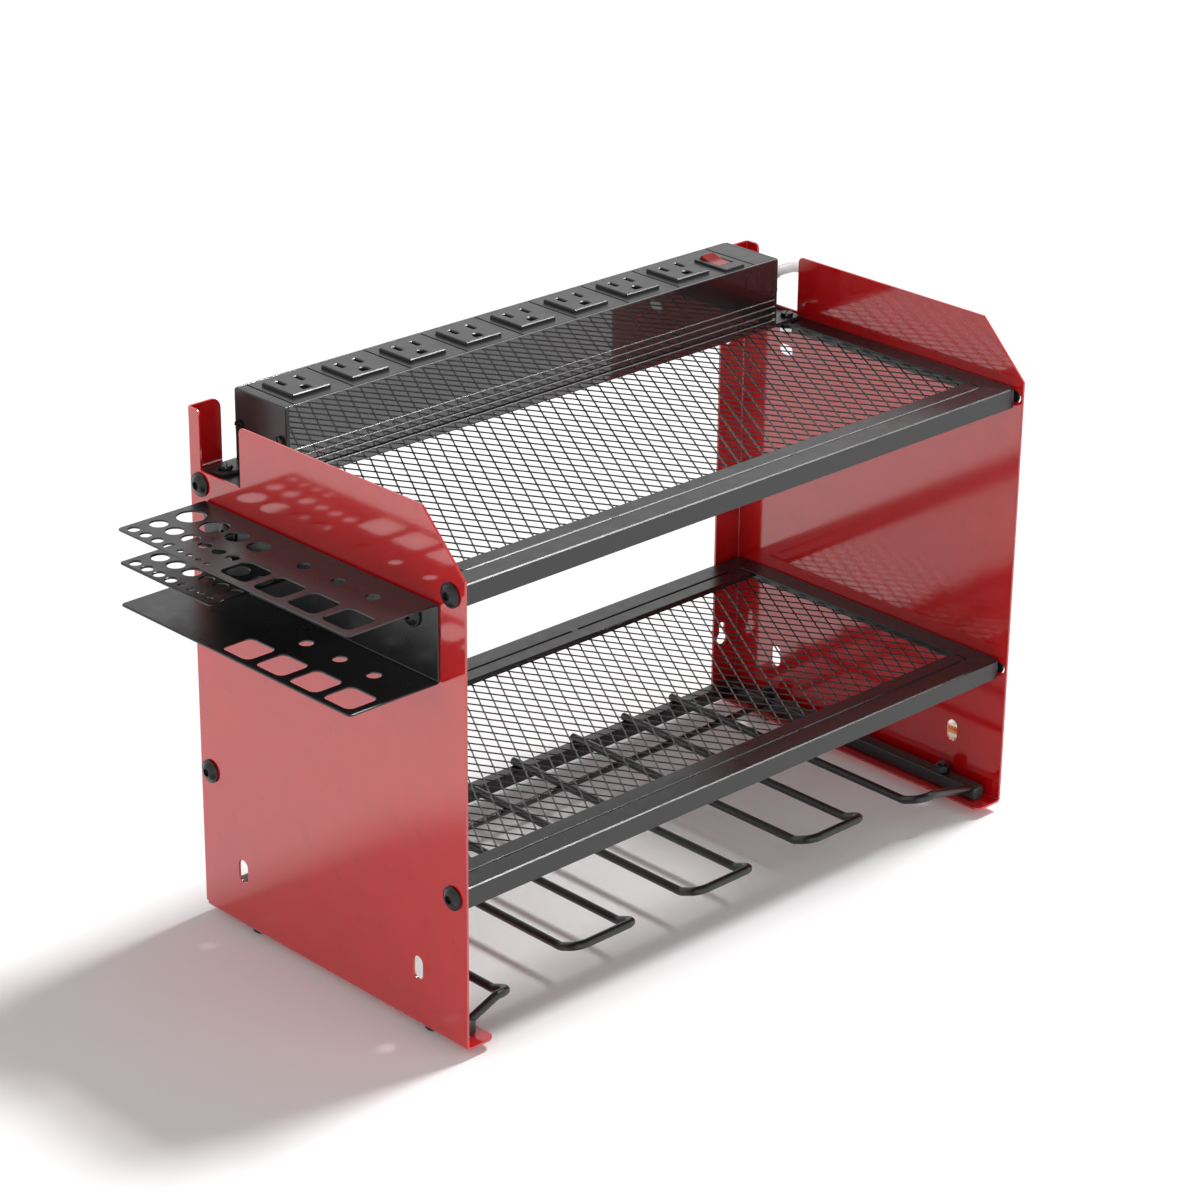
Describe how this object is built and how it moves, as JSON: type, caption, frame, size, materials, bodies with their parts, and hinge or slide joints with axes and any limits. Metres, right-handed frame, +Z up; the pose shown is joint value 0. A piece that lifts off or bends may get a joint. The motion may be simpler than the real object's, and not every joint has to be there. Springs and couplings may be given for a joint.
{
  "type": "wall-mounted power tool organizer",
  "caption": "Wall organizer with bent side panels, mesh shelves, a power strip, a bit and driver holder, and a rack of wire hooks for cordless tools.",
  "frame": {"origin": "centre of the object's bounding box, without the cord, on the plane under the bolt heads", "axes": "+X to the right along the wall, +Y back towards the wall, +Z up"},
  "size_m": [0.6162, 0.22, 0.3134],
  "materials": {
    "red_powder_coat": "gloss powder coat",
    "black_powder_coat": "satin fine grain powder coat",
    "black_screw": "satin black oxide",
    "zinc": "zinc plated",
    "black_gloss_housing": "high gloss",
    "black_plastic": "fine grained moulding",
    "ivory_plastic": "moulded",
    "contact_brass": "rolled strip",
    "red_lens": "translucent gloss",
    "lamp_glass": "clear",
    "lead_black": "insulation",
    "lead_grey": "insulation",
    "lead_white": "insulation",
    "lead_green": "insulation",
    "cord_sheath": "smooth satin sheath",
    "tie_plastic": "strap"
  },
  "bodies": {
    "frame": {"holder_side_panel": "red_powder_coat", "cord_side_panel": "red_powder_coat", "upper_shelf_frame": "black_powder_coat", "lower_shelf_frame": "black_powder_coat", "upper_clamp_frame": "black_powder_coat", "lower_clamp_frame": "black_powder_coat", "upper_shelf_mesh": "black_powder_coat", "lower_shelf_mesh": "black_powder_coat", "shelf_screws_left": "black_screw", "shelf_screws_right": "black_screw", "shelf_rivet_nuts": "zinc", "bit_holder_channel": "black_powder_coat", "bit_holder_middle_shelf": "black_powder_coat", "bit_holder_screws": "black_screw", "bit_holder_nuts": "black_screw", "left_rack_rail": "black_powder_coat", "right_rack_rail": "black_powder_coat", "rear_rack_rail": "black_powder_coat", "rail_end_caps": "black_plastic", "hook_wire_left": "black_powder_coat", "hook_wire_middle": "black_powder_coat", "hook_wire_right": "black_powder_coat", "half_hook_left": "black_powder_coat", "half_hook_right": "black_powder_coat", "rack_cross_wire": "black_powder_coat", "rack_bolts": "black_screw", "rack_nuts": "black_screw", "strip_housing": "black_gloss_housing", "outlet_cover": "black_plastic", "contact_carrier": "ivory_plastic", "line_bus_bar": "contact_brass", "neutral_bus_bar": "contact_brass", "ground_bus_bar": "contact_brass", "strip_left_end_cap": "black_plastic", "strip_right_end_cap": "black_plastic", "strip_end_screws": "black_screw", "strip_mount_screws": "black_screw", "strip_mount_nuts": "zinc", "switch_body": "black_plastic", "switch_lamp": "lamp_glass", "switch_terminals": "contact_brass", "line_lead": "lead_black", "switched_lead": "lead_grey", "neutral_lead": "lead_white", "ground_lead": "lead_green", "cord_grip": "cord_sheath", "power_cord": "cord_sheath", "cord_coil": "cord_sheath", "cord_tie": "tie_plastic", "plug_body": "cord_sheath", "plug_blades": "contact_brass"},
    "rocker": {"switch_rocker": "red_lens"}
  },
  "joints": [
    {"name": "rocker_switch", "type": "hinge", "parent": "frame", "child": "rocker", "pos_m": [0.1788, 0.0768, 0.3084], "axis": [-1, 0, 0], "range_deg": [0, 20]}
  ]
}
